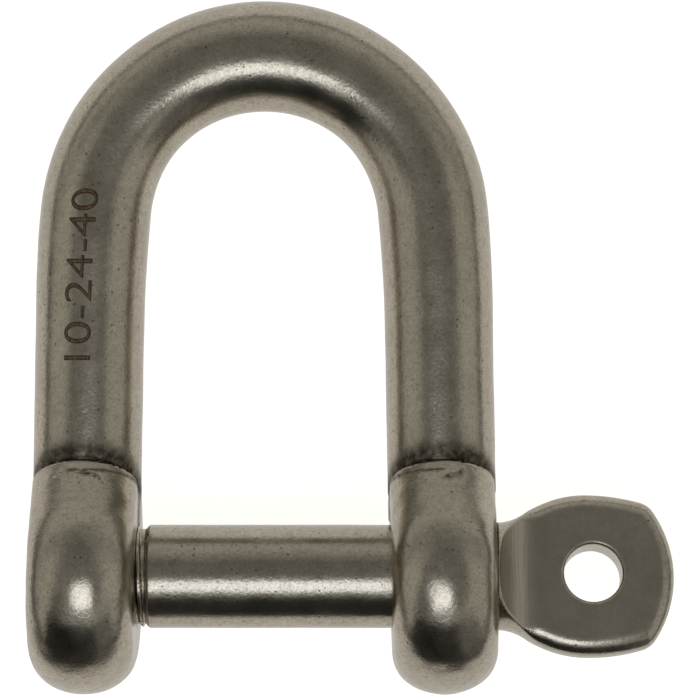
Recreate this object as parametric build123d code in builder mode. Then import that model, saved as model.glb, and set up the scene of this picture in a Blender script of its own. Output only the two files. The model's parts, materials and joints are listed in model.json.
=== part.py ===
from build123d import *
import os
from math import asin, ceil, cos, radians, sin, tan

# Screw-pin D shackle, 10 mm size: a forged body bent to a U with two round ears, and the screw pin that closes it.
#
# Frame: millimetres, +Z up, the shackle lying flat as it rests on a deck. The origin is on the pin's axis, halfway
# between the ears. +X runs along the pin to its eye tab, and +Y towards the crown of the bow. The ears stand
# further out than the bar, so the plane of the bow dips towards the crown, and both ears and the crown touch the
# ground.

# Size of the shackle
pin_diameter = 10.0
inside_length = 40.2  # from the pin's surface to the inside of the crown

# Bow
bar_radius = 5.25
crown_radius = 16.4  # of the bar's centre line
crown_end_turn = 5.5  # degrees over the level where the round crown ends
leg_bend_radius = 130.0  # of the slack bend between the crown and a straight leg
leg_splay = 1.0  # degrees that each straight leg leans outwards

# Ears
ear_radius = 11.4
ear_thickness = 10.1
ear_flat_radius = 7.6  # flat part of each face, inside the rounded rim
shoulder_angle = 52.5  # degrees from the leg to where a shoulder leaves the ear's circle
shoulder_reach = 5.9  # length of a shoulder beyond that
ear_bore_radius = 5.3
spot_face_radius = 8.0
spot_face_x = 22.05

# Thread, M10 x 1.5, right-hand
thread_pitch = 1.5
thread_crest_radius = 4.9
thread_root_radius = 4.08
thread_crest_width = 0.30
tap_bore_radius = 4.25
crest_gap = 0.12  # radial gap over the pin's crests
flank_gap = 0.1  # gap between the flanks, measured square to them
flank_angle = radians(30)
tap_mouth_radius = 5.15
mouth_lead = 0.3  # the countersink is cut from this far outside the ear
thread_start_x = -10.65  # where the helix starts, inside the pin's shank
turns_per_cutter = 2
cut_margin = 0.1  # how far a thread cutter reaches past the surface it cuts
end_margin = 1.0  # how far a plain cutter reaches past the piece

# Screw pin
shoulder_x = -11.4  # end of the plain shank, short of the threaded ear
shank_chamfer = 0.3
relief_width = 0.35
relief_radius = 4.0
thread_end_x = -22.3
thread_end_chamfer = 0.8
collar_start_x = 12.0  # at the mouth of the plain ear
collar_width = 1.0
collar_bore_radius = 3.5
collar_radius = 4.8
collar_gap = 0.05

# Eye tab of the pin
tab_angle = 15.5  # degrees that the tab's face turns from the bow's plane towards the crown
tab_half_thickness = 1.9
tab_half_height = 7.95
tab_widest_x = 31.2
tab_end_x = 39.7
tab_end_radius = 11.3  # about a centre on the pin's axis
tab_end_turn = 38.0  # degrees of that arc, up to the corner
tab_back_radius = 10.46  # outline from the widest place back to the flare
tab_flare_radius = 4.72
flare_turn = 35.0  # degrees of slope where the back meets the flare
flare_start_turn = 5.0  # degrees of slope where the flare leaves the neck
neck_start_x = 22.2
neck_radius = 5.1
tab_corner_radius = 1.4
crease_radius = 0.5
tab_rim_radius = 1.2
ramp_start_x = 22.55
ramp_top = 6.3  # height over the tab's middle where a ramp starts, clear of the neck
ramp_end_x = 25.3
ramp_radius = 4.5
eye_x = 31.8
eye_radius = 2.8
eye_chamfer = 0.2

pin_radius = pin_diameter / 2
crown_centre_y = pin_radius + inside_length + bar_radius - crown_radius
lie_angle = asin((ear_radius - bar_radius) / (crown_centre_y + crown_radius))


def plane_through_pin(turn, origin=(0, 0, 0)):
    """A plane along the pin's axis whose normal leans from +Z towards +Y by turn, in radians."""
    return Plane(origin=origin, x_dir=(1, 0, 0), z_dir=(0, sin(turn), cos(turn)))


def across_pin(x):
    """The plane square to the pin's axis at x, facing +X."""
    return Plane(origin=(x, 0, 0), x_dir=(0, 1, 0), z_dir=(1, 0, 0))


bow_plane = plane_through_pin(lie_angle)
tab_plane = plane_through_pin(lie_angle + radians(tab_angle))
tab_side_plane = Plane(origin=(0, 0, 0), x_dir=(1, 0, 0), z_dir=-tab_plane.y_dir)
splay = radians(leg_splay)
leg_up = bow_plane.x_dir * -sin(splay) + bow_plane.y_dir * cos(splay)
ear_axis = bow_plane.x_dir * cos(splay) + bow_plane.y_dir * sin(splay)
crown_end = radians(crown_end_turn)
leg_top_x = crown_radius * cos(crown_end) + leg_bend_radius * (cos(splay) - cos(crown_end))
leg_top_y = crown_centre_y + crown_radius * sin(crown_end) - leg_bend_radius * (sin(crown_end) - sin(splay))
leg_foot_x = leg_top_x + leg_top_y * tan(splay)  # the leg's centre line, level with the pin's axis
leg_foot = bow_plane.x_dir * leg_foot_x


def ear_plane(turn):
    """The plane through the ear's own axis whose local Y leans from the leg towards the bow's normal by turn."""
    outwards = leg_up * cos(turn) + bow_plane.z_dir * sin(turn)
    return Plane(origin=leg_foot, x_dir=ear_axis, z_dir=ear_axis.cross(outwards))


def ear_section(plane):
    """Half of the ear's section, from its axis out to the rounded rim."""
    half = ear_thickness / 2
    with BuildSketch(plane) as section:
        with BuildLine():
            rim = EllipticalCenterArc((0, ear_flat_radius), half, ear_radius - ear_flat_radius, arc_size=180)
            Polyline(rim @ 1, (-half, 0), (half, 0), rim @ 0)
        make_face()
    return section.sketch


def ridge_width(radius):
    """Axial width of the pin's thread ridge at a radius."""
    return thread_crest_width + (thread_crest_radius - radius) * 2 * tan(flank_angle)


def helical_cutter(start_x, turns, radii, widths):
    """A helical bar of trapezoid section about the pin's axis, from start_x along -X."""
    with BuildPart() as cutter:
        with BuildLine() as path:
            Helix(thread_pitch, turns * thread_pitch, radii[0], center=(start_x, 0, 0), direction=(-1, 0, 0))
        start = path.line @ 0
        outwards = Vector(0, start.Y, start.Z).normalized()
        with BuildSketch(Plane(origin=start, x_dir=outwards, z_dir=path.line % 0)):
            with BuildLine():
                depth = radii[1] - radii[0]
                Polyline(
                    (0, widths[0] / 2),
                    (depth, widths[1] / 2),
                    (depth, -widths[1] / 2),
                    (0, -widths[0] / 2),
                    close=True,
                )
            make_face()
        sweep(is_frenet=True)
    return cutter.part


def thread_cutters(start_x, end_x, radii, widths):
    """A helical cutter from start_x to beyond end_x, in lengths of a few whole turns that follow on."""
    lead = turns_per_cutter * thread_pitch
    count = ceil((start_x - end_x) / lead)
    return [helical_cutter(start_x - n * lead, turns_per_cutter, radii, widths) for n in range(count)]


def ring(x, width, inner_radius, outer_radius):
    """A plain ring about the pin's axis, from x for width along +X."""
    with BuildPart() as made:
        with BuildSketch(across_pin(x)):
            Circle(outer_radius)
            Circle(inner_radius, mode=Mode.SUBTRACT)
        extrude(amount=width)
    return made.part


def tab_flats(pin):
    """The tab's two flat faces."""
    return pin.faces().filter_by(tab_plane).sort_by(SortBy.AREA)[-2:]


os.makedirs("parts", exist_ok=True)

# Thread cutters: the pin's groove, and the ridge with its running gaps that taps the ear -----------------------------

inner_face_x = leg_foot_x - ear_thickness / 2
outer_face_x = leg_foot_x + ear_thickness / 2
groove_top_radius = thread_crest_radius + cut_margin
pin_grooves = thread_cutters(
    thread_start_x,
    thread_end_x - thread_pitch,
    (thread_root_radius, groove_top_radius),
    (thread_pitch - ridge_width(thread_root_radius), thread_pitch - ridge_width(groove_top_radius)),
)
tap_inner_radius = tap_bore_radius - cut_margin
tap_outer_radius = thread_crest_radius + crest_gap
tap_extra = 2 * flank_gap / cos(flank_angle)
tap_ridges = thread_cutters(
    thread_start_x + thread_pitch / 2,
    -outer_face_x - thread_pitch,
    (tap_inner_radius, tap_outer_radius),
    (ridge_width(tap_inner_radius) + tap_extra, ridge_width(tap_outer_radius) + tap_extra),
)

# Forged body: one half of the bow with its ear, mirrored, then drilled and tapped ------------------------------------

with BuildPart() as shackle_body:
    with BuildLine(bow_plane) as bar_line:
        crown = CenterArc((0, crown_centre_y), crown_radius, crown_end_turn, 90 - crown_end_turn)
        bend = JernArc(crown @ 0, crown % 0 * -1, leg_bend_radius, leg_splay - crown_end_turn)
        Line(bend @ 1, (leg_foot_x, 0))
    with BuildSketch(Plane(origin=bow_plane.y_dir * (crown_centre_y + crown_radius), z_dir=(1, 0, 0))):
        Circle(bar_radius)
    sweep(path=bar_line.line)
    revolve(ear_section(ear_plane(0)), axis=Axis(leg_foot, ear_axis))
    for side in (1, -1):
        shoulder = ear_section(ear_plane(side * radians(shoulder_angle)))
        extrude(shoulder, amount=-side * shoulder_reach)
    mirror(about=Plane.YZ)

    # plain bore and spot face of the ear under the tab
    with BuildSketch(across_pin(inner_face_x - end_margin)):
        Circle(ear_bore_radius)
    extrude(amount=ear_thickness + 2 * end_margin, mode=Mode.SUBTRACT)
    with BuildSketch(across_pin(spot_face_x)):
        Circle(spot_face_radius)
    extrude(amount=outer_face_x + end_margin - spot_face_x, mode=Mode.SUBTRACT)

    # tapped bore of the other ear, with a countersunk mouth for the pin's shoulder
    with BuildSketch(across_pin(-outer_face_x - end_margin)):
        Circle(tap_bore_radius)
    extrude(amount=ear_thickness + 2 * end_margin, mode=Mode.SUBTRACT)
    with BuildSketch(across_pin(-inner_face_x + mouth_lead)):
        Circle(tap_mouth_radius + mouth_lead)
    extrude(amount=tap_bore_radius - tap_mouth_radius - mouth_lead, taper=45, mode=Mode.SUBTRACT)
    for ridge in tap_ridges:
        add(ridge, mode=Mode.SUBTRACT)

shackle_body.part.label = "shackle_body"
export_step(shackle_body.part, "parts/shackle_body.step")

# Screw pin: threaded end, eye tab and shank, forged and turned in one ------------------------------------------------

with BuildPart() as threaded_end:
    with BuildSketch(across_pin(thread_end_x)):
        Circle(thread_crest_radius)
    extrude(amount=shoulder_x - thread_end_x)
    chamfer(threaded_end.edges().sort_by(Axis.X)[0], thread_end_chamfer)
    for groove in pin_grooves:
        add(groove, mode=Mode.SUBTRACT)
    add(ring(shoulder_x - relief_width, relief_width, relief_radius, pin_radius), mode=Mode.SUBTRACT)

with BuildPart() as screw_pin:
    # eye tab: a turned outline, kept between its two flats and the ramps ground into the neck
    with BuildSketch(tab_plane):
        with BuildLine():
            end = CenterArc((tab_end_x - tab_end_radius, 0), tab_end_radius, 0, tab_end_turn)
            TangentArc((tab_widest_x, tab_half_height), end @ 1, tangent=(1, 0))
            back = JernArc((tab_widest_x, tab_half_height), (-1, 0), tab_back_radius, flare_turn)
            flare = JernArc(back @ 1, back % 1, tab_flare_radius, flare_start_turn - flare_turn)
            Polyline(flare @ 1, (neck_start_x, neck_radius), (neck_start_x, 0), (tab_end_x, 0))
        make_face()
        corner = vertices().sort_by_distance(end @ 1)[0]
        fillet(corner, tab_corner_radius)
    revolve(axis=Axis.X)
    with BuildSketch(tab_side_plane):
        with BuildLine():
            ramp = RadiusArc((ramp_start_x, ramp_top), (ramp_end_x, tab_half_thickness), ramp_radius)
            Polyline(
                ramp @ 1,
                (tab_end_x + end_margin, tab_half_thickness),
                (tab_end_x + end_margin, 0),
                (neck_start_x - end_margin, 0),
                (neck_start_x - end_margin, pin_diameter),
                (ramp_start_x, pin_diameter),
                ramp @ 0,
            )
        make_face()
        mirror(about=Plane.XZ)
    extrude(amount=pin_diameter, both=True, mode=Mode.INTERSECT)
    creases = tab_flats(screw_pin).edges().filter_by(GeomType.LINE)
    fillet(creases, crease_radius)
    rims = tab_flats(screw_pin).edges().filter_by_position(Axis.X, ramp_end_x + crease_radius, tab_end_x)
    fillet(rims, tab_rim_radius)

    # eye hole
    with BuildSketch(tab_plane):
        with Locations((eye_x, 0)):
            Circle(eye_radius)
    extrude(amount=pin_diameter, both=True, mode=Mode.SUBTRACT)
    eye_edges = tab_flats(screw_pin).edges().filter_by(GeomType.CIRCLE)
    chamfer(eye_edges.filter_by(lambda e: abs(e.radius - eye_radius) < 0.01), eye_chamfer)

    # shank and its shoulder
    with BuildSketch(across_pin(shoulder_x)):
        Circle(pin_radius)
    extrude(amount=neck_start_x - shoulder_x)
    chamfer(screw_pin.edges().sort_by(Axis.X)[0], shank_chamfer)

    add(threaded_end.part)

    # seat of the collar
    seat = ring(collar_start_x, collar_width, collar_bore_radius - collar_gap, pin_radius + end_margin)
    add(seat, mode=Mode.SUBTRACT)

screw_pin.part.label = "screw_pin"
export_step(screw_pin.part, "parts/screw_pin.step")

# Collar: a ring of the pin's shank at the mouth of the plain ear, a node of its own that carries the travel ---------

with BuildPart() as pin_collar:
    add(ring(collar_start_x + collar_gap / 2, collar_width - collar_gap, collar_bore_radius, collar_radius))

pin_collar.part.label = "pin_collar"
export_step(pin_collar.part, "parts/pin_collar.step")
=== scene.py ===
import json
from math import cos, pi, radians, sin, tan

import bmesh
import bpy
import numpy as np
from mathutils import Matrix, Vector


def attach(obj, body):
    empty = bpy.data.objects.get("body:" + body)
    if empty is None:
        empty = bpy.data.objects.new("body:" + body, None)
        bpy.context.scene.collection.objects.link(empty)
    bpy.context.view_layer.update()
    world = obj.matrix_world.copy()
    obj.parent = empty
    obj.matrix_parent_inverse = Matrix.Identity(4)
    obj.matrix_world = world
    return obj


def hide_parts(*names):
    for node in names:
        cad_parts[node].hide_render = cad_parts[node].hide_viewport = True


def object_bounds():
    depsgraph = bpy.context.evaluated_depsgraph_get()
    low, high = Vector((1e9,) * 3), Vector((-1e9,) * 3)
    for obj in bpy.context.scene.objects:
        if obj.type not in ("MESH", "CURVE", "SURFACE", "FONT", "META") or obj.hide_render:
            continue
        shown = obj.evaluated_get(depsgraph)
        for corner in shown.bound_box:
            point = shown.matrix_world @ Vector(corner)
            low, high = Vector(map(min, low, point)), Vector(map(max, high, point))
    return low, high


# A screw-pin D shackle of tumbled stainless steel, lying flat.
# Lengths are in millimetres until a mesh is made. The floor's and the lamp's sizes are in metres.
MM = 0.001

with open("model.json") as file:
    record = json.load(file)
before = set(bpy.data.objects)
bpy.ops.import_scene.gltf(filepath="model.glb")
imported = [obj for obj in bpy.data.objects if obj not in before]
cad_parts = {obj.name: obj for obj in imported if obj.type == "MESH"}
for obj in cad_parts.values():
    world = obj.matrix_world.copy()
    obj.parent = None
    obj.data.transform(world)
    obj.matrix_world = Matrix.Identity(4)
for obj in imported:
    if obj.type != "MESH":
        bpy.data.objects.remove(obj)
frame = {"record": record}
cad_low, cad_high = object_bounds()
mounts = {m["name"]: m for m in frame["record"]["mounts"]}

# ---------------------------------------------------------------------------------------------------------
# Sizes, as the CAD has them
# ---------------------------------------------------------------------------------------------------------

pin_radius = mounts["pin"]["dims"]["r_mm"]
eye_radius = mounts["eye_hole"]["dims"]["r_mm"]
eye_x = mounts["eye_hole"]["pos_m"][0] / MM
inner_crown_y = Vector(mounts["crown"]["pos_m"]).length / MM
ground_z = cad_low.z / MM

bar_radius = 5.25
crown_radius = 16.4
crown_end = radians(5.5)
leg_bend_radius = 130.0
splay = radians(1.0)
crown_y = inner_crown_y + bar_radius - crown_radius
bend_x = (crown_radius - leg_bend_radius) * cos(crown_end)
bend_y = crown_y + (crown_radius - leg_bend_radius) * sin(crown_end)
leg_top_x = bend_x + leg_bend_radius * cos(splay)
leg_top_y = bend_y + leg_bend_radius * sin(splay)
leg_foot_x = leg_top_x + leg_top_y * tan(splay)
leg_length = leg_top_y / cos(splay)

crown_swell = 0.09
crown_swell_turn = 0.5
haunch_thinning = 0.05
haunch_turn = 0.35
bend_swell = 0.09
bend_swell_length = 6

ear_radius = 11.4
ear_half = 5.05
ear_flat_radius = 7.6
shoulder_angle = radians(52.5)
shoulder_reach = 5.9
ear_bore_radius = 5.3
spot_face_radius = 8.0
spot_face_x = 22.05
neck_depth = 0.22
neck_width = 0.22
neck_reach = 0.12
ledge_edge_radius = 0.3
ledge_corner_fill = 0.22
plain_bore_edge = 0.25
spot_face_edge = 0.12

pitch = 1.5
crest_radius = 4.9
root_radius = 4.08
crest_width = 0.3
tap_radius = 4.25
crest_gap = 0.12
flank_gap = 0.1
flank_angle = radians(30)
tap_mouth_radius = 5.15
thread_phase_x = -10.85

shoulder_x = -11.4
shoulder_chamfer = 0.3
relief_width = 0.25
relief_radius = 4.6
thread_end_x = -22.3
thread_end_chamfer = 0.8

tab_half_thickness = 1.9
tab_half_height = 7.95
tab_widest_x = 31.2
tab_end_x = 39.7
tab_end_radius = 11.3
tab_end_turn = radians(38)
tab_back_radius = 10.46
tab_flare_radius = 4.72
flare_turn = radians(35)
neck_start_x = 22.2
neck_radius = 5.1
tab_corner_softness = 0.4
tab_rim_radius = 1.35
ramp_start_x = 22.55
ramp_end_x = 25.3
ramp_end_angle = radians(22.7)
ramp_radius = 4.5
ramp_blend = 0.35
eye_edge = 0.4

# The bow's own axes, and the eye tab's
x_axis = Vector((1, 0, 0))
bow_y = -Vector(mounts["crown"]["axis"]).normalized()
bow_z = x_axis.cross(bow_y)
tab_z = Vector(mounts["eye_hole"]["axis"]).normalized()
tab_y = tab_z.cross(x_axis)
BOW = np.array([x_axis, bow_y, bow_z])
TAB = np.array([x_axis, tab_y, tab_z])

# ---------------------------------------------------------------------------------------------------------
# Signed distances, negative inside. Each takes points as an array of rows.
# ---------------------------------------------------------------------------------------------------------


def round_max(a, b, radius):
    """Both solids at once, with the edge between them rounded."""
    past_a, past_b = np.maximum(a + radius, 0), np.maximum(b + radius, 0)
    return np.minimum(np.maximum(a, b), -radius) + np.hypot(past_a, past_b)


def soft_min(a, b, reach):
    """Either solid, with the inner corner between them filled softly."""
    share = np.clip(0.5 + 0.5 * (b - a) / reach, 0, 1)
    return b + (a - b) * share - reach * share * (1 - share)


def ease(low, high, t):
    """0 below low, 1 over high, smooth between."""
    s = np.clip((t - low) / (high - low), 0, 1)
    return s * s * (3 - 2 * s)


def bell(offset, width):
    """1 where offset is 0, and almost nothing two widths away."""
    return np.exp(-((offset / width) ** 2))


def waves(p, seed, length, count=10):
    """Slow unevenness between about -1 and 1, as a few plane waves about length apart."""
    draw = np.random.default_rng(seed)
    total = np.zeros(len(p))
    for _ in range(count):
        direction = draw.normal(size=3)
        direction *= 2 * pi / (length * draw.uniform(0.7, 1.6)) / np.linalg.norm(direction)
        total += np.sin(p @ direction + draw.uniform(0, 2 * pi))
    return total / np.sqrt(count)


def thread_ridge(p, radius, crest, gap):
    """The right-hand thread's ridge about the pin's axis, grown by gap."""
    turns = (p[:, 0] - thread_phase_x) / pitch - np.arctan2(p[:, 2], p[:, 1]) / (2 * pi)
    off = np.abs(turns - np.round(turns)) * pitch
    half_width = crest_width / 2 + (crest_radius - radius) * tan(flank_angle)
    return np.maximum((off - half_width) * cos(flank_angle) - gap, radius - crest)


def bar_side(p):
    """Distance outwards from the bow's centre line, in the bow's plane."""
    x, y = np.abs(p[:, 0]), p[:, 1]
    leg = (x - leg_foot_x) * cos(splay) + y * sin(splay)
    bend = np.hypot(x - bend_x, y - bend_y) - leg_bend_radius
    crown = np.hypot(x, y - crown_y) - crown_radius
    along = y * cos(splay) - (x - leg_foot_x) * sin(splay)
    turn = np.arctan2(y - crown_y, x)
    return np.where(turn > crown_end, crown, np.where(along < leg_length, leg, bend)), along, turn


def ear_section(radius, across):
    """An ear's section: flat in the middle, with an elliptical rim."""
    rim_depth = ear_radius - ear_flat_radius
    beyond = np.maximum(radius - ear_flat_radius, 0) / rim_depth
    size = np.hypot(across / ear_half, beyond)
    slope = np.hypot(across / ear_half**2, beyond / rim_depth) / np.maximum(size, 1e-6)
    return (size - 1) / np.maximum(slope, 0.1)


def bar_distance(p, side, along):
    """The round bar, with a round end at each foot."""
    return np.sqrt(side**2 + p[:, 2] ** 2 + np.minimum(along, 0) ** 2) - bar_radius


def about_ear(p):
    """Places about the nearer ear: across it, up the leg from its middle, and out past its ledge."""
    x = np.abs(p[:, 0]) - leg_foot_x
    across = x * cos(splay) + p[:, 1] * sin(splay)
    up = p[:, 1] * cos(splay) - x * sin(splay)
    reach = up * sin(shoulder_angle) - np.abs(p[:, 2]) * cos(shoulder_angle) - shoulder_reach
    return across, up, reach


def lap(p, centre, radius, width, drift, start, end):
    """A line along an arc, that comes in over the x values of start and fades over those of end."""
    off = np.hypot(p[:, 0] - centre[0], p[:, 1] - centre[1]) - radius + drift
    return bell(off, width) * (ease(*start, p[:, 0]) * (1 - ease(*end, p[:, 0])))


def ear_crease(p, reach):
    """Shallow laps that forging left under the ledges, ragged along their length."""
    depth = 0.12
    ragged = 0.6 + 0.5 * waves(p, 31, 0.8)
    drift = 0.05 * waves(p, 32, 1.1)
    left = lap(p, (-17.9, 6.0), 4.5, 0.11, drift, (-20.4, -19.6), (-15.9, -15.0)) * (p[:, 1] > 7.5)
    right = lap(p, (17.0, 14.2), 4.3, 0.2, 3 * drift, (16.6, 17.6), (18.8, 19.8))
    return depth * ragged * (left + right) * (p[:, 2] > 0) * (reach < -0.1)


def body_distance(p):
    """The forged body, in the bow's axes."""
    side, along, turn = bar_side(p)
    across, up, reach = about_ear(p)
    z = p[:, 2]

    # the bar swells on top of the crown and where its bend begins, and thins between and over the ledges
    swell = crown_swell * bell(turn - pi / 2, crown_swell_turn)
    swell -= haunch_thinning * bell(turn - pi / 4, haunch_turn)
    swell += bend_swell * bell(p[:, 1] - crown_y, bend_swell_length)
    neck = neck_depth * bell(reach - neck_reach, neck_width)
    bar = bar_distance(p, side, along) - swell * (along > 0) + neck
    bar += 0.012 * waves(p, 3, 9.0) + 0.005 * waves(p, 5, 3.2)

    # each ear is a thick disc with an arm up to the ledge, where the dies pressed it out of the bar
    ear = ear_section(np.hypot(up, z), across)
    for facing in (1, -1):
        tangent = up * sin(shoulder_angle) - facing * z * cos(shoulder_angle)
        outwards = up * cos(shoulder_angle) + facing * z * sin(shoulder_angle)
        arm = ear_section(np.abs(outwards), across)
        arm = round_max(arm, tangent - shoulder_reach, ledge_edge_radius)
        ear = np.minimum(ear, np.maximum(arm, -np.minimum(tangent, outwards)))
    ear += 0.022 * waves(p, 11, 7.0) + 0.015 * waves(p, 12, 2.4) + ear_crease(p, reach)
    solid = soft_min(bar, ear, ledge_corner_fill)

    # bores: plain and spot-faced under the tab, tapped and countersunk at the other end
    radius = np.hypot(p[:, 1], z)
    plain = np.maximum(radius - ear_bore_radius, -p[:, 0])
    spot = np.maximum(radius - spot_face_radius, spot_face_x - p[:, 0])
    ridge = thread_ridge(p, radius, crest_radius + crest_gap, flank_gap)
    ridge = np.minimum(ridge, radius - tap_radius)
    mouth = (radius - tap_mouth_radius - (p[:, 0] + leg_foot_x - ear_half)) * cos(pi / 4)
    tapped = np.maximum(np.minimum(ridge, mouth), p[:, 0])
    solid = round_max(solid, -plain, plain_bore_edge)
    solid = round_max(solid, -spot, spot_face_edge)
    return np.maximum(solid, -tapped)


def tab_outline(x):
    """Half height of the tab's turned outline at x, short of its round end."""
    back_y = tab_half_height - tab_back_radius
    flare_x = tab_widest_x - (tab_back_radius + tab_flare_radius) * sin(flare_turn)
    flare_y = back_y + (tab_back_radius + tab_flare_radius) * cos(flare_turn)
    join_x = tab_widest_x - tab_back_radius * sin(flare_turn)
    end_dx = tab_end_x - tab_end_radius + tab_end_radius * cos(tab_end_turn) - tab_widest_x
    end_dy = tab_half_height - tab_end_radius * sin(tab_end_turn)
    front_radius = (end_dx**2 + end_dy**2) / (2 * end_dy)
    front = np.sqrt(np.maximum(front_radius**2 - (x - tab_widest_x) ** 2, 0))
    front += tab_half_height - front_radius
    back = back_y + np.sqrt(np.maximum(tab_back_radius**2 - (x - tab_widest_x) ** 2, 0))
    flare = flare_y - np.sqrt(np.maximum(tab_flare_radius**2 - (x - flare_x) ** 2, 0))
    flare = np.where(x > flare_x, np.maximum(flare, neck_radius), neck_radius)
    return np.where(x > tab_widest_x, front, np.where(x > join_x, back, flare))


def tab_thickness(x, z):
    """The tab between its flats and the hollow ramps ground into the neck."""
    depth = np.abs(z)
    centre_z = tab_half_thickness + ramp_radius * cos(ramp_end_angle)
    centre_x = ramp_end_x + ramp_radius * sin(ramp_end_angle)
    ramp = ramp_radius - np.hypot(np.minimum(x - centre_x, 0), np.minimum(depth - centre_z, 0))
    return soft_min(depth - tab_half_thickness, ramp, ramp_blend)


def pin_distance(p):
    """The screw pin, in the tab's axes."""
    x, z = p[:, 0], p[:, 2]
    radius = np.hypot(p[:, 1], z)
    step = 0.02
    slope = (tab_outline(x + step) - tab_outline(x - step)) / (2 * step)
    outline = (radius - tab_outline(x)) / np.sqrt(1 + slope**2)
    end = np.hypot(x - tab_end_x + tab_end_radius, radius) - tab_end_radius
    outline = round_max(outline, end, tab_corner_softness)
    neck_rim = 0.25
    rim = neck_rim + (tab_rim_radius - neck_rim) * ease(ramp_end_x - 0.8, ramp_end_x + 1.6, x)
    tab = round_max(outline, tab_thickness(x, z), rim)
    tab += 0.02 * waves(p, 21, 6.0)
    tab = np.maximum(tab, neck_start_x - x)

    shank = np.maximum(radius - pin_radius, np.maximum(shoulder_x - x, x - neck_start_x - 0.1))
    chamfer = (radius - pin_radius + shoulder_chamfer + shoulder_x - x) * cos(pi / 4)
    shank = round_max(shank, chamfer, 0.08)
    shank += 0.006 * waves(p, 23, 5.0)
    bow_points = p @ TAB @ BOW.T
    ridge = np.minimum(thread_ridge(bow_points, radius, crest_radius, 0), radius - root_radius)
    point = (radius - crest_radius + thread_end_chamfer + thread_end_x - x) * cos(pi / 4)
    ends = np.maximum(thread_end_x - x, x - shoulder_x + relief_width)
    thread = np.maximum(np.maximum(ridge, point), ends)
    relief = np.maximum(radius - relief_radius, np.maximum(thread_end_x + 2 - x, x - shoulder_x - 1))
    solid = np.minimum(np.minimum(tab, shank), np.minimum(thread, relief))

    eye = np.hypot(x - eye_x, p[:, 1]) - eye_radius
    return round_max(solid, -eye, eye_edge)


# ---------------------------------------------------------------------------------------------------------
# From distance to mesh
# ---------------------------------------------------------------------------------------------------------


def slope_of(distance, p, step):
    """Gradient of a distance at each point."""
    moves = np.eye(3) * step
    return np.stack([(distance(p + m) - distance(p - m)) / (2 * step) for m in moves], axis=1)


def surface_net(distance, low, high, step):
    """Vertices and quads of the distance's zero surface, with a vertex in each grid cell that it crosses."""
    settling_rounds = 5
    longest_move = 0.4 * step

    # which points of the grid are inside
    counts = np.ceil((high - low) / step).astype(int) + 1
    lines = [low[i] + step * np.arange(counts[i]) for i in range(3)]
    inside = np.empty(counts, bool)
    plane = np.stack(np.meshgrid(lines[1], lines[2], indexing="ij"), axis=-1).reshape(-1, 2)
    for i, x in enumerate(lines[0]):
        points = np.column_stack([np.full(len(plane), x), plane])
        inside[i] = (distance(points) < 0).reshape(counts[1:])

    # a quad round each edge of the grid that the surface crosses, turned to face outwards
    quads = []
    for axis in range(3):
        first, second = (axis + 1) % 3, (axis + 2) % 3
        turned = inside.transpose(axis, first, second)
        crossing = np.argwhere(turned[1:] != turned[:-1])
        outward = turned[crossing[:, 0], crossing[:, 1], crossing[:, 2]]
        corners = []
        for da, db in ((1, 1), (0, 1), (0, 0), (1, 0)):
            cell = np.empty_like(crossing)
            cell[:, axis] = crossing[:, 0]
            cell[:, first] = crossing[:, 1] - da
            cell[:, second] = crossing[:, 2] - db
            corners.append(np.ravel_multi_index(cell.T, counts))
        made = np.stack(corners, axis=1)
        made[~outward] = made[~outward][:, ::-1]
        quads.append(made)
    used, quads = np.unique(np.concatenate(quads), return_inverse=True)

    # the vertices start in the middles of their cells and settle on the surface
    cells = np.stack(np.unravel_index(used, counts), axis=1)
    points = low + step * (cells + 0.5)
    for _ in range(settling_rounds):
        gradient = slope_of(distance, points, 0.02)
        size = np.maximum((gradient**2).sum(1), 0.2)
        move = -(distance(points) / size)[:, None] * gradient
        length = np.linalg.norm(move, axis=1, keepdims=True)
        points += move * np.minimum(1, longest_move / np.maximum(length, 1e-9))
    return points, quads.reshape(-1, 4)


def mesh_piece(name, distance, axes, low, high, step, masks):
    """An object from a distance given in axes, with exact normals and with masks stored on its points."""
    points, quads = surface_net(distance, np.array(low), np.array(high), step)
    normals = slope_of(distance, points, 0.05)
    normals /= np.maximum(np.linalg.norm(normals, axis=1, keepdims=True), 1e-9)
    mesh = bpy.data.meshes.new(name)
    mesh.from_pydata(points @ axes * MM, [], quads.tolist())
    mesh.polygons.foreach_set("use_smooth", np.ones(len(mesh.polygons), bool))
    mesh.normals_split_custom_set_from_vertices(normals @ axes)
    for mask, values in masks(points).items():
        mesh.attributes.new(mask, "FLOAT", "POINT").data.foreach_set("value", values.astype(np.float32))
    piece = bpy.data.objects.new(name, mesh)
    bpy.context.scene.collection.objects.link(piece)
    return piece


def body_masks(p):
    """Where the body is darkened by brown stain and painted shade: along the ledge over the ears, where the
    painted shade also hides the lamp's highlight on the slope, and in the inner corner and the laps beside
    them.
    """
    side, along, _ = bar_side(p)
    across, up, reach = about_ear(p)
    ledge = bell(reach - 0.2, 0.3) + 0.95 * bell(reach - 0.85, 0.85)
    corner_width = 0.14
    off_corner = bar_distance(p, side, along) - ear_section(np.hypot(up, p[:, 2]), across)
    corner = bell(off_corner, corner_width) * (reach < 0) * (across < 0)
    crease = 8 * ear_crease(p, reach)
    return {"stain_and_shade": np.clip(ledge * (up > 0) + corner + crease, 0, 1)}


def pin_masks(p):
    """Which parts of the pin are the tab's flats, the ground ramps and the turned shank."""
    x, depth = p[:, 0], np.abs(p[:, 2])
    flat = ease(ramp_end_x - 0.2, ramp_end_x + 0.6, x) * (depth > tab_half_thickness - 0.04)
    ramp = ease(ramp_start_x, ramp_start_x + 0.5, x) * (1 - ease(ramp_end_x - 0.7, ramp_end_x + 1.5, x))
    ramp *= tab_thickness(x, p[:, 2]) > -0.15
    turned = (x < neck_start_x).astype(float)
    return {"flat": flat, "ramp": ramp, "turned": turned}


# ---------------------------------------------------------------------------------------------------------
# Materials
# ---------------------------------------------------------------------------------------------------------


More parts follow.
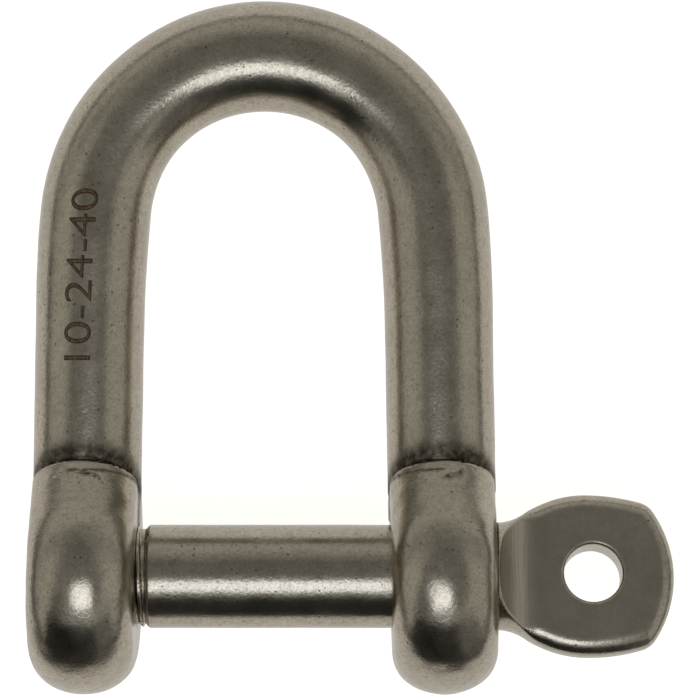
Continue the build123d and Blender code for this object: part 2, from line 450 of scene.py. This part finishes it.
class Nodes:
    """Short forms for building a node tree."""

    def __init__(self, tree):
        self.tree = tree
        tree.nodes.clear()

    def add(self, kind, inputs=None, **settings):
        node = self.tree.nodes.new(kind)
        for name, value in settings.items():
            setattr(node, name, value)
        for key, value in (inputs or {}).items():
            self.put(node.inputs[key], value)
        return node

    def put(self, socket, value):
        if isinstance(value, bpy.types.NodeSocket):
            self.tree.links.new(value, socket)
        else:
            socket.default_value = value

    def math(self, operation, a, b=0.0, c=0.0, clamp=False):
        node = self.add("ShaderNodeMath", {0: a, 1: b, 2: c}, operation=operation, use_clamp=clamp)
        return node.outputs[0]

    def between(self, value, low, high, to_low=0.0, to_high=1.0):
        inputs = {"Value": value, "From Min": low, "From Max": high, "To Min": to_low, "To Max": to_high}
        return self.add("ShaderNodeMapRange", inputs, interpolation_type="SMOOTHSTEP").outputs["Result"]

    def mix(self, share, a, b):
        node = self.add("ShaderNodeMix", data_type="RGBA")
        self.put(node.inputs[0], share)
        self.put(node.inputs[6], a)
        self.put(node.inputs[7], b)
        return node.outputs[2]

    def mask(self, name):
        """A mask that mesh_piece stored on the mesh."""
        return self.add("ShaderNodeAttribute", attribute_name=name).outputs["Fac"]

    def along(self, vector, axis):
        node = self.add("ShaderNodeVectorMath", {0: vector, 1: tuple(axis)}, operation="DOT_PRODUCT")
        return node.outputs["Value"]

    def scaled(self, vector, scale):
        return self.add("ShaderNodeVectorMath", {0: vector, 1: scale}, operation="MULTIPLY").outputs[0]

    def noise(self, vector, size, detail=2.0, roughness=0.5):
        """Noise with features about size millimetres across."""
        inputs = {"Vector": vector, "Scale": 1 / (size * MM), "Detail": detail, "Roughness": roughness}
        return self.add("ShaderNodeTexNoise", inputs).outputs["Fac"]

    def bump(self, height, distance, normal=None):
        inputs = {"Height": height, "Distance": distance * MM, "Strength": 1.0}
        if normal is not None:
            inputs["Normal"] = normal
        return self.add("ShaderNodeBump", inputs).outputs["Normal"]


def along_axes(n, axes, stretch):
    """Object coordinates turned into axes and stretched, for grain that runs one way."""
    place = n.add("ShaderNodeTexCoord").outputs["Object"]
    parts = [n.along(place, axis) for axis in axes]
    joined = n.add("ShaderNodeCombineXYZ", {0: parts[0], 1: parts[1], 2: parts[2]}).outputs[0]
    return n.scaled(joined, stretch)


def shade(base, share):
    """The base colour made lighter or darker, as a colour socket takes it."""
    return tuple(c * share for c in base) + (1,)


def specks(n, place, size, core, edge, clean):
    """Round dots in cells size millimetres across, solid to core and gone at edge, both in cell widths.

    The share of cells called clean has no dot.
    """
    cells = n.add("ShaderNodeTexVoronoi", {"Vector": place, "Scale": 1 / (size * MM)})
    chance = n.add("ShaderNodeSeparateXYZ", {0: cells.outputs["Color"]}).outputs[0]
    dot = n.between(cells.outputs["Distance"], core, edge, 1.0, 0.0)
    return n.math("MULTIPLY", dot, n.between(chance, clean, 1.0))


def pits(n, place):
    """Small dark pits, crowded in some patches and sparse in others."""
    coarse = specks(n, place, 0.6, 0.06, 0.3, 0.38)
    fine = n.math("MULTIPLY", specks(n, place, 0.3, 0.1, 0.4, 0.45), 0.5)
    patches = n.between(n.noise(place, 2.6, 2.0), 0.38, 0.56, 0.25, 1.0)
    return n.math("MULTIPLY", n.math("MAXIMUM", coarse, fine), patches)


def tumbled_steel(name, base, pin=False):
    """Satin stainless steel with fine tumbled grain, sparse dark pits and slow blotches.

    The pin is ground on its tab and turned on its shank. The body has brown stain and painted shade along
    its ledges and in its corners and laps.
    """
    mottle_colour = (0.16, 0.135, 0.10, 1)
    pit_colour = (0.05, 0.038, 0.026, 1)
    # the dark brown of the body's stain and of its painted shade
    stain_and_shade_colour = (0.05, 0.037, 0.024, 1)
    pit_share = 0.8
    grain_depth = 0.018
    pit_depth = 0.008

    material = bpy.data.materials.new(name)
    material.use_nodes = True
    n = Nodes(material.node_tree)
    place = n.add("ShaderNodeTexCoord").outputs["Object"]

    blotch = n.noise(place, 3.5, 3.0, 0.55)
    mottle = n.noise(place, 0.7, 3.0, 0.6)
    sand = n.noise(place, 0.24, 2.0, 0.7)
    bright = n.mix(n.between(blotch, 0.3, 0.7), shade(base, 1.04), shade(base, 1.19))
    sanded = n.mix(n.between(sand, 0.3, 0.7, 0.0, 0.38), bright, shade(base, 0.55))
    speckled = n.mix(n.between(mottle, 0.42, 0.72, 0.0, 0.22), sanded, mottle_colour)
    rough = n.between(blotch, 0.25, 0.75, 0.2, 0.27)

    grain = n.noise(place, 0.16, 2.0, 0.6)
    dimples = n.noise(place, 0.34, 1.0, 0.5)
    height = n.math("ADD", n.math("MULTIPLY", grain, 0.3), n.math("MULTIPLY", dimples, 0.7))
    pit = pits(n, place)
    normal = n.bump(height, grain_depth)
    normal = n.bump(n.math("MULTIPLY", pit, -1.0), pit_depth, normal)

    if pin:
        flat, ramp, turned = n.mask("flat"), n.mask("ramp"), n.mask("turned")
        across_tab = along_axes(n, (x_axis, tab_y, tab_z), (1.0, 0.04, 1.0))
        round_shank = along_axes(n, (x_axis, tab_y, tab_z), (1.0, 0.01, 0.01))

        # the flats are ground clean and duller than the shank
        smooth_flat = n.math("SUBTRACT", 1.0, n.math("MULTIPLY", flat, 0.8))
        pit = n.math("MULTIPLY", n.math("MULTIPLY", pit, smooth_flat), pit_share)
        pitted = n.mix(pit, speckled, pit_colour)
        matte = n.mix(n.math("MULTIPLY", flat, 0.6), pitted, shade(base, 0.72))
        rough = n.math("ADD", rough, n.math("MULTIPLY", n.math("MAXIMUM", flat, ramp), 0.16))

        # the ramps are brighter and scored across, and the shank has faint lathe lines
        colour = n.mix(n.math("MULTIPLY", ramp, 0.75), matte, shade(base, 1.3))
        brushed = n.noise(across_tab, 0.2, 2.0)
        scored = n.math("MULTIPLY", ramp, n.between(brushed, 0.5, 0.68, 0.0, 0.18))
        colour = n.mix(scored, colour, shade(base, 0.4))
        normal = n.bump(n.math("MULTIPLY", brushed, ramp), 0.04, normal)
        lathe = n.noise(round_shank, 0.14, 1.0)
        normal = n.bump(n.math("MULTIPLY", lathe, turned), 0.004, normal)
    else:
        # the body's dark brown is partly stain and partly painted shade along the ledges, in the inner
        # corners and in the laps, dark enough to hide the lamp's highlight above each ledge
        stain_and_shade = n.math("MULTIPLY", n.mask("stain_and_shade"), n.between(mottle, 0.3, 0.65, 0.72, 1.0), clamp=True)
        pitted = n.mix(n.math("MULTIPLY", pit, pit_share), speckled, pit_colour)
        colour = n.mix(stain_and_shade, pitted, stain_and_shade_colour)
        rough = n.math("ADD", rough, n.math("MULTIPLY", stain_and_shade, 0.2))

    shader = n.add("ShaderNodeBsdfPrincipled", {"Base Color": colour, "Roughness": rough, "Normal": normal})
    shader.inputs["Metallic"].default_value = 1.0
    n.add("ShaderNodeOutputMaterial", {"Surface": shader.outputs[0]})
    return material


def etched_steel(name, dark, light):
    """The brown of a laser mark, broken up by the grain under it."""
    material = bpy.data.materials.new(name)
    material.use_nodes = True
    n = Nodes(material.node_tree)
    place = n.add("ShaderNodeTexCoord").outputs["Object"]
    patchy = n.noise(place, 0.35, 3.0, 0.65)
    colour = n.mix(n.between(patchy, 0.35, 0.7), dark, light)
    normal = n.bump(n.noise(place, 0.12, 2.0), 0.02)
    inputs = {"Base Color": colour, "Roughness": n.between(patchy, 0.2, 0.8, 0.5, 0.75), "Normal": normal}
    shader = n.add("ShaderNodeBsdfPrincipled", inputs)
    shader.inputs["Metallic"].default_value = 0.35
    n.add("ShaderNodeOutputMaterial", {"Surface": shader.outputs[0]})
    return material


def paper_white():
    """White paper to the eye, and in the metal a lit patch that ends soon beside the shackle."""
    patch_shift = 0.3
    fade_start, fade_end = 0.048, 0.09
    patch_level, far_level = 0.74, 0.08
    material = bpy.data.materials.new("paper_white")
    material.use_nodes = True
    n = Nodes(material.node_tree)
    middle = (cad_low + cad_high) / 2 - Vector((0, patch_shift, 0))
    half_size = ((cad_high.x - cad_low.x) / 2, (cad_high.y - cad_low.y) / 2 + patch_shift, 1.0)
    place = n.add("ShaderNodeTexCoord").outputs["Object"]
    aside = n.add("ShaderNodeVectorMath", {0: place, 1: middle}, operation="SUBTRACT")
    aside = n.add("ShaderNodeVectorMath", {0: aside.outputs[0]}, operation="ABSOLUTE")
    beyond = n.add("ShaderNodeVectorMath", {0: aside.outputs[0], 1: half_size}, operation="SUBTRACT")
    beyond = n.add("ShaderNodeVectorMath", {0: beyond.outputs[0], 1: (0, 0, 0)}, operation="MAXIMUM")
    away = n.add("ShaderNodeVectorMath", {0: beyond.outputs[0]}, operation="LENGTH")
    lit = n.between(away.outputs["Value"], fade_start, fade_end, patch_level, far_level)
    white = (1.0, 0.985, 0.955, 1)
    in_metal = n.add("ShaderNodeEmission", {"Color": white, "Strength": lit})
    table = n.add("ShaderNodeEmission", {"Color": white})
    table.inputs["Strength"].default_value = 0.87
    paper = n.add("ShaderNodeBsdfDiffuse")
    paper.inputs["Color"].default_value = (0.85, 0.85, 0.83, 1)
    by_eye = n.add("ShaderNodeAddShader", {0: table.outputs[0], 1: paper.outputs[0]})
    seen = n.add("ShaderNodeLightPath").outputs["Is Camera Ray"]
    both = n.add("ShaderNodeMixShader", {0: seen, 1: in_metal.outputs[0], 2: by_eye.outputs[0]})
    n.add("ShaderNodeOutputMaterial", {"Surface": both.outputs[0]})
    return material


# ---------------------------------------------------------------------------------------------------------
# Pieces
# ---------------------------------------------------------------------------------------------------------

body_steel = tumbled_steel("tumbled_steel", (0.46, 0.415, 0.335))
pin_steel = tumbled_steel("pin_steel", (0.45, 0.41, 0.335), pin=True)

# each grid stands clear of its piece, and its step is as fine as a mesh of 200 000 faces allows
body_step = 0.3
body_margin = 1
body_half_width = leg_foot_x + 6.2
body_low = (-body_half_width, -ear_radius - body_margin, -ear_radius - body_margin)
body_high = (body_half_width, crown_y + crown_radius + bar_radius + body_margin, ear_radius + body_margin)
body = mesh_piece("forged_body", body_distance, BOW, body_low, body_high, body_step, body_masks)
body.data.materials.append(body_steel)
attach(body, "shackle")
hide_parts("shackle_body")

pin_step = 0.17
pin_margin = 0.5
pin_half_depth = pin_radius + 0.7
pin_low = (thread_end_x - pin_margin, -tab_half_height - pin_margin, -pin_half_depth)
pin_high = (tab_end_x + pin_margin, tab_half_height + pin_margin, pin_half_depth)
pin = mesh_piece("screw_pin_forging", pin_distance, TAB, pin_low, pin_high, pin_step, pin_masks)
pin.data.materials.append(pin_steel)
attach(pin, "pin")
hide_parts("screw_pin", "pin_collar")

# the mark gives the pin, the gap and the inside length in millimetres
mark_text = "10-24-40"
mark_middle_y = 29.2
mark_length = 16.4
mark_height = 2.6
mark_aside = 0.78


def bar_centre_x(y):
    """How far the bar's centre line stands from the middle of the bow at height y."""
    leg = leg_foot_x - y * tan(splay)
    bend = bend_x + np.sqrt(leg_bend_radius**2 - (y - bend_y) ** 2)
    crown = np.sqrt(np.maximum(crown_radius**2 - (y - crown_y) ** 2, 0))
    return np.where(y > crown_y + crown_radius * sin(crown_end), crown, np.where(y > leg_top_y, bend, leg))


def size_mark(name, weight, lift, material):
    """Plain numerals along the left leg, laid on the bar's surface. Weight thickens the strokes."""
    longest_edge = 0.35
    settling_rounds = 12
    curve = bpy.data.curves.new(name, "FONT")
    curve.body = mark_text
    curve.size = 1.0
    curve.offset = weight
    lettering = bpy.data.objects.new(name, curve)
    bpy.context.scene.collection.objects.link(lettering)
    bpy.context.view_layer.update()
    mesh = bpy.data.meshes.new_from_object(lettering)
    bpy.data.objects.remove(lettering)
    shape = bmesh.new()
    shape.from_mesh(mesh)
    bmesh.ops.triangulate(shape, faces=shape.faces)
    xs = [v.co.x for v in shape.verts]
    ys = [v.co.y for v in shape.verts]
    long_scale = mark_length / (max(xs) - min(xs) - 2 * weight)
    tall_scale = mark_height / (max(ys) - min(ys) - 2 * weight)
    for v in shape.verts:
        v.co.x = (v.co.x - (max(xs) + min(xs)) / 2) * long_scale
        v.co.y = (v.co.y - (max(ys) + min(ys)) / 2) * tall_scale
    for _ in range(4):
        long_edges = [e for e in shape.edges if e.calc_length() > longest_edge]
        bmesh.ops.subdivide_edges(shape, edges=long_edges, cuts=1)
        bmesh.ops.triangulate(shape, faces=[f for f in shape.faces if len(f.verts) > 3])
    shape.to_mesh(mesh)
    shape.free()
    mesh.validate()
    flat = np.empty(len(mesh.vertices) * 3)
    mesh.vertices.foreach_get("co", flat)
    flat = flat.reshape(-1, 3)
    up = mark_middle_y + flat[:, 0]
    over = np.full(len(up), bar_radius + 0.5)
    points = np.column_stack([-bar_centre_x(up) - mark_aside - flat[:, 1], up, over])
    for _ in range(settling_rounds):
        points[:, 2] -= 0.8 * (body_distance(points) - lift)
    mesh.vertices.foreach_set("co", (points @ BOW * MM).ravel())
    mesh.polygons.foreach_set("use_smooth", np.ones(len(mesh.polygons), bool))
    mesh.update()
    mesh.materials.clear()
    mesh.materials.append(material)
    piece = bpy.data.objects.new(name, mesh)
    bpy.context.scene.collection.objects.link(piece)
    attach(piece, "shackle")


# two layers, so that the strokes have a dark edge and a lighter middle
etched_edge = etched_steel("etched_edge", (0.042, 0.02, 0.009, 1), (0.13, 0.075, 0.04, 1))
etched_core = etched_steel("etched_core", (0.11, 0.062, 0.032, 1), (0.24, 0.17, 0.10, 1))
size_mark("size_mark", -0.001, 0.012, etched_edge)
size_mark("size_mark_core", -0.027, 0.02, etched_core)

# ---------------------------------------------------------------------------------------------------------
# Floor, light and camera
# ---------------------------------------------------------------------------------------------------------

half_floor = 3.0
floor_gap = 0.00005
floor_z = ground_z * MM - floor_gap
corners = [(x * half_floor, y * half_floor, floor_z) for x, y in ((-1, -1), (1, -1), (1, 1), (-1, 1))]
floor_mesh = bpy.data.meshes.new("floor")
floor_mesh.from_pydata(corners, [], [(0, 1, 2, 3)])
floor = bpy.data.objects.new("floor", floor_mesh)
bpy.context.scene.collection.objects.link(floor)
floor_mesh.materials.append(paper_white())


def studio_light():
    """A dim room over the table: dark overhead, grey walls, and a black front wall under the highlights."""
    overhead_level, wall_level, horizon_share = 0.2, 0.48, 0.6
    front_depth, front_right_share = 0.94, 0.68
    post_depth, back_depth = 0.55, 0.35
    spill_level = 0.09

    world = bpy.data.worlds.new("studio")
    bpy.context.scene.world = world
    world.use_nodes = True
    n = Nodes(world.node_tree)

    def darken(level, band, depth):
        return n.math("MULTIPLY", level, n.math("SUBTRACT", 1.0, n.math("MULTIPLY", band, depth)))

    # Angles in degrees, in the bow's axes: tilt away from straight up, rise towards the crown or below zero
    # towards the pin, swing and sideways towards the tab.
    direction = n.add("ShaderNodeTexCoord").outputs["Generated"]
    over, up, across = n.along(direction, bow_z), n.along(direction, bow_y), n.along(direction, x_axis)
    tilt = n.math("MULTIPLY", n.math("ARCCOSINE", over), 180 / pi)
    rise = n.math("MULTIPLY", n.math("ARCTAN2", up, over), 180 / pi)
    swing = n.math("MULTIPLY", n.math("ARCTAN2", across, over), 180 / pi)
    sideways = n.math("MULTIPLY", n.math("ARCSINE", across), 180 / pi)
    aside = n.math("ABSOLUTE", n.math("ADD", swing, 4.0))

    level = n.between(tilt, 32.0, 50.0, overhead_level, wall_level)
    level = n.math("MULTIPLY", level, n.between(tilt, 82.0, 90.0, 1.0, horizon_share))

    # the front wall, a darker post at its left and a darker band high at the back
    front = n.between(n.math("ABSOLUTE", sideways), 45.0, 58.0, 1.0, 0.0)
    front = n.math("MULTIPLY", front, n.between(sideways, 14.0, 28.0, 1.0, front_right_share))
    front = n.math("MULTIPLY", n.between(rise, -46.0, -36.0, 1.0, 0.0), front)
    level = darken(level, front, front_depth)
    post = n.math("MULTIPLY", n.between(rise, -8.0, -16.0), n.between(swing, -58.0, -46.0))
    post = n.math("MULTIPLY", post, n.between(swing, -34.0, -22.0, 1.0, 0.0))
    level = darken(level, post, post_depth)
    back = n.math("MULTIPLY", n.between(rise, 26.0, 38.0), n.between(rise, 50.0, 66.0, 1.0, 0.0))
    level = darken(level, back, back_depth)

    # what the lamp spills round itself
    spill = n.math("MULTIPLY", n.between(rise, 0.0, -12.0), n.between(rise, -32.0, -44.0, 1.0, 0.0))
    spill = n.math("MULTIPLY", spill, n.between(aside, 14.0, 34.0, spill_level, 0.0))
    level = n.math("ADD", level, spill)

    room = n.add("ShaderNodeBackground", {"Color": (1.0, 1.0, 0.94, 1), "Strength": level})
    backdrop = n.add("ShaderNodeBackground", {"Color": (1.0, 1.0, 1.0, 1), "Strength": 1.0})
    seen = n.add("ShaderNodeLightPath").outputs["Is Camera Ray"]
    both = n.add("ShaderNodeMixShader", {0: seen, 1: room.outputs[0], 2: backdrop.outputs[0]})
    n.add("ShaderNodeOutputWorld", {"Surface": both.outputs[0]})


studio_light()

# one soft lamp over the pin's side, near enough that the crown sees it lower than the pin does
lamp_centre = Vector((-3.0, -68.0, 209.0))
lamp_aim = Vector((-3.0, 22.0, 0.0))
lamp_light = bpy.data.lights.new("lamp", "AREA")
lamp_light.shape = "RECTANGLE"
lamp_light.size = 0.112
lamp_light.size_y = 0.095
lamp_light.energy = 0.059
lamp_light.color = (1.0, 1.06, 1.18)
lamp = bpy.data.objects.new("lamp", lamp_light)
lamp_back = BOW.T @ np.array((lamp_centre - lamp_aim).normalized())
lamp_up = np.cross(lamp_back, BOW.T @ np.array((1.0, 0.0, 0.0)))
lamp_frame = Matrix((x_axis, Vector(lamp_up), Vector(lamp_back))).transposed().to_4x4()
lamp.matrix_world = Matrix.Translation(Vector(BOW.T @ np.array(lamp_centre)) * MM) @ lamp_frame
lamp.visible_camera = False
bpy.context.scene.collection.objects.link(lamp)

# The camera looks straight down on the bow's plane.
camera_distance = 305.8
view_centre = (8.3, 21.97)
field_of_view = radians(12.68)
target = x_axis * view_centre[0] + bow_y * view_centre[1]
lens = bpy.data.cameras.new("camera")
lens.sensor_width = 36.0
lens.angle = field_of_view
lens.clip_start = 0.01
camera = bpy.data.objects.new("camera", lens)
turn = Matrix((x_axis, bow_y, bow_z)).transposed().to_4x4()
camera.matrix_world = Matrix.Translation((target + bow_z * camera_distance) * MM) @ turn
bpy.context.scene.collection.objects.link(camera)
bpy.context.scene.camera = camera
bpy.context.scene.view_settings.view_transform = "Standard"
